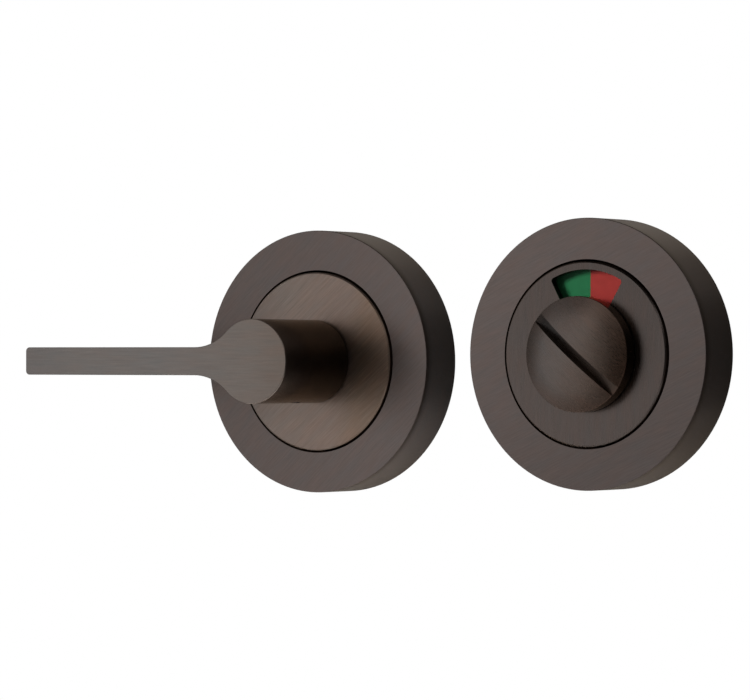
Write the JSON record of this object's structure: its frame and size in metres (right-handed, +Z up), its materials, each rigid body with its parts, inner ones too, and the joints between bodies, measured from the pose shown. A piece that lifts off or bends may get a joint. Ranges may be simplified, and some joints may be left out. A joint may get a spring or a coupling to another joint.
{
  "type": "bathroom thumb turn lock",
  "caption": "Bathroom privacy lock set: a round rose with a long thumb-turn lever beside a matching rose with a coin-slot release knob and a red and green indicator window.",
  "frame": {"origin": "on the lever's turning axis, in the door plane at the back of the turn half's rose", "axes": "+Z up, +X to the right seen from the front, +Y into the door, so the front faces -Y"},
  "size_m": [0.1431, 0.0662, 0.0535],
  "materials": {
    "rose_bronze": "dark bronze, brushed satin",
    "turn_disc_bronze": "dark bronze, brushed satin, slightly lighter",
    "release_disc_bronze": "dark bronze, brushed satin",
    "lever_bronze": "dark bronze, brushed satin along the blade",
    "knob_bronze": "dark bronze, brushed satin",
    "plated_base": "zinc plated, dull",
    "plated_steel": "zinc plated",
    "spring_steel": "bright spring steel",
    "black_steel": "black oxide",
    "black_nylon": "moulded, matt",
    "carrier_plastic": "moulded, matt",
    "green_foil": "printed foil, satin",
    "red_foil": "printed foil, satin"
  },
  "bodies": {
    "root": {"turn_rose_cover": "rose_bronze", "release_rose_cover": "rose_bronze", "turn_face_disc": "turn_disc_bronze", "release_face_disc": "release_disc_bronze", "turn_base_plate": "plated_base", "release_base_plate": "plated_base", "turn_shaft_bush": "black_nylon", "release_shaft_bush": "black_nylon", "turn_disc_bush": "black_nylon", "turn_flat_washer": "spring_steel", "release_flat_washer": "spring_steel", "turn_wave_washer": "spring_steel", "release_wave_washer": "spring_steel", "turn_cover_grub_screw": "black_steel", "release_cover_grub_screw": "black_steel", "turn_fixing_bolts": "plated_steel", "release_bolt_posts": "plated_steel"},
    "turn": {"turn_lever": "lever_bronze", "turn_lever_grub_screw": "black_steel", "spindle": "plated_steel", "turn_hub": "plated_steel", "turn_retaining_clip": "black_steel"},
    "release": {"release_knob": "knob_bronze", "indicator_carrier": "carrier_plastic", "indicator_green": "green_foil", "indicator_red": "red_foil", "release_retaining_clip": "black_steel"}
  },
  "joints": [
    {"name": "turn_pivot", "type": "hinge", "parent": "root", "child": "turn", "pos_m": [0, 0, 0], "axis": [0, 1, 0], "range_deg": [0, 90]},
    {"name": "release_pivot", "type": "hinge", "parent": "root", "child": "release", "pos_m": [0.0619, 0, 0.00145], "axis": [0, 1, 0], "range_deg": [-45, 45]}
  ]
}
